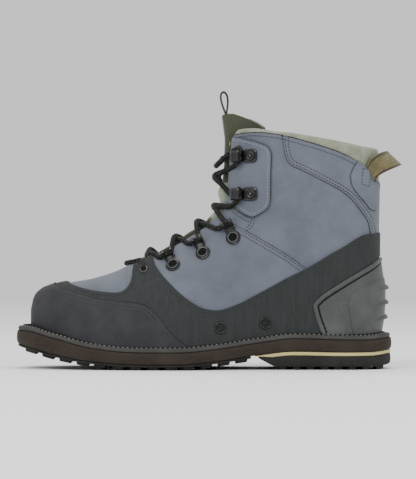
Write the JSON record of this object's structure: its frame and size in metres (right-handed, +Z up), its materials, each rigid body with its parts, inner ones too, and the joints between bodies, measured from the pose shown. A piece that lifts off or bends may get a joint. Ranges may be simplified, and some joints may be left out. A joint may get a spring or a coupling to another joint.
{
  "type": "wading boot",
  "caption": "Lace-up ankle-height wading boot for the left foot, with a lugged rubber sole, moulded toe cap and heel counter, padded collar, lace loops, speed hooks and a webbing heel pull.",
  "frame": {"origin": "middle of the heel's tread, on the floor", "axes": "toe towards -X, heel towards +X, lateral side towards -Y, medial side towards +Y, +Z up"},
  "size_m": [0.3294, 0.1217, 0.2344],
  "materials": {
    "lug_rubber": "matte moulded rubber",
    "wedge_foam": "matte dense foam",
    "midsole_rubber": "matte moulded rubber",
    "welt_rubber": "matte with a stitched edge",
    "lining": "padded mesh cloth",
    "upper_nubuck": "matte nubuck",
    "tongue_cloth": "padded woven cloth",
    "cap_rubber": "satin moulded rubber",
    "foxing_cloth": "coated matte cloth",
    "counter_rubber": "satin moulded rubber",
    "webbing": "ribbed woven tape",
    "black_metal": "black enamel, worn bright at the edges",
    "lace_cord": "round braided cord"
  },
  "bodies": {
    "root": {"outsole": "lug_rubber", "heel_block": "lug_rubber", "heel_wedge": "wedge_foam", "midsole": "midsole_rubber", "welt": "welt_rubber", "insole": "lining", "upper": "upper_nubuck", "tongue": "tongue_cloth", "toe_cap": "cap_rubber", "foxing": "foxing_cloth", "heel_counter": "counter_rubber", "ankle_patch_lateral": "upper_nubuck", "ankle_patch_medial": "upper_nubuck", "collar_cuff": "lining", "heel_pull": "webbing", "tongue_pull": "webbing", "eyelet_1_lateral": "black_metal", "eyelet_1_medial": "black_metal", "lace_loop_1_lateral": "black_metal", "lace_loop_1_medial": "black_metal", "lace_loop_2_lateral": "black_metal", "lace_loop_2_medial": "black_metal", "lace_loop_3_lateral": "black_metal", "lace_loop_3_medial": "black_metal", "speed_hook_1_lateral": "black_metal", "speed_hook_1_medial": "black_metal", "speed_hook_2_lateral": "black_metal", "speed_hook_2_medial": "black_metal", "drain_vent_1_lateral": "black_metal", "drain_vent_1_medial": "black_metal", "drain_vent_2_lateral": "black_metal", "drain_vent_2_medial": "black_metal", "lace_bar": "lace_cord", "lace_crossing_1": "lace_cord", "lace_crossing_2": "lace_cord", "lace_crossing_3": "lace_cord", "lace_crossing_4": "lace_cord", "lace_crossing_5": "lace_cord"}
  },
  "joints": []
}
